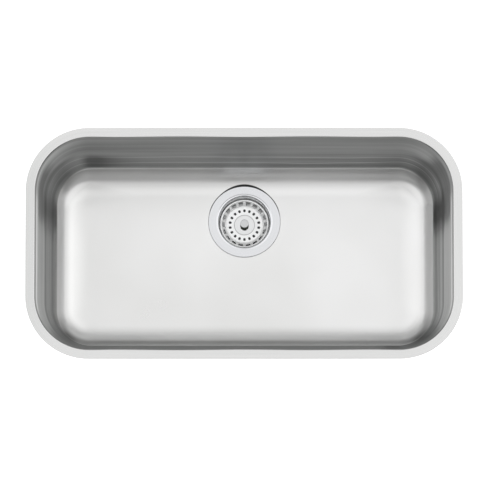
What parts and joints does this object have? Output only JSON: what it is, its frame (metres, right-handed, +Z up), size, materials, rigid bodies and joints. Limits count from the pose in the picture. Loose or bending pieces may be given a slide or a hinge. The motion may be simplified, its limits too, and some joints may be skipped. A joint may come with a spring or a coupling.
{
  "type": "kitchen sink",
  "caption": "Undermount single-bowl stainless steel kitchen sink with a flat rim, round corners and a lift-out basket strainer waste towards the back.",
  "frame": {"origin": "centre of the bowl's opening, on the plane of the rim's top face", "axes": "+X along the bowl, +Y to the back, where the waste is, +Z up out of the bowl"},
  "size_m": [0.71, 0.379, 0.2989],
  "materials": {
    "bowl_steel": "satin stainless steel with a fine grain along the rim and walls",
    "waste_steel": "stainless steel, spun and lightly polished",
    "basket_steel": "bright polished stainless steel",
    "fastener_steel": "turned stainless steel",
    "black_rubber": "matt black rubber",
    "sound_pad": "matt dark grey sound deadening sheet",
    "white_plastic": "moulded off-white polypropylene",
    "black_plastic": "moulded black plastic",
    "brass": "turned brass"
  },
  "bodies": {
    "sink": {"bowl": "bowl_steel", "floor_pad_left": "sound_pad", "floor_pad_right": "sound_pad", "front_wall_pad": "sound_pad", "back_wall_pad": "sound_pad", "flange_seal": "black_rubber", "waste_flange": "waste_steel", "body_seal": "black_rubber", "waste_body": "white_plastic", "thread_insert": "brass", "clamp_screw": "fastener_steel"},
    "stopper": {"stem": "fastener_steel", "stopper_plate": "black_plastic", "stopper_seal": "black_rubber", "stem_washer": "black_rubber", "stem_nut": "fastener_steel", "catch_ring": "black_rubber"},
    "basket": {"basket_cup": "basket_steel", "knob_base": "basket_steel", "knob": "basket_steel"}
  },
  "joints": [
    {"name": "basket_lift", "type": "slide", "parent": "sink", "child": "stopper", "axis": [0, 0, 1], "range_m": [0, 0.26]},
    {"name": "basket_turn", "type": "hinge", "parent": "stopper", "child": "basket", "pos_m": [0, 0.064, -0.228], "axis": [0, 0, 1], "continuous": true}
  ]
}
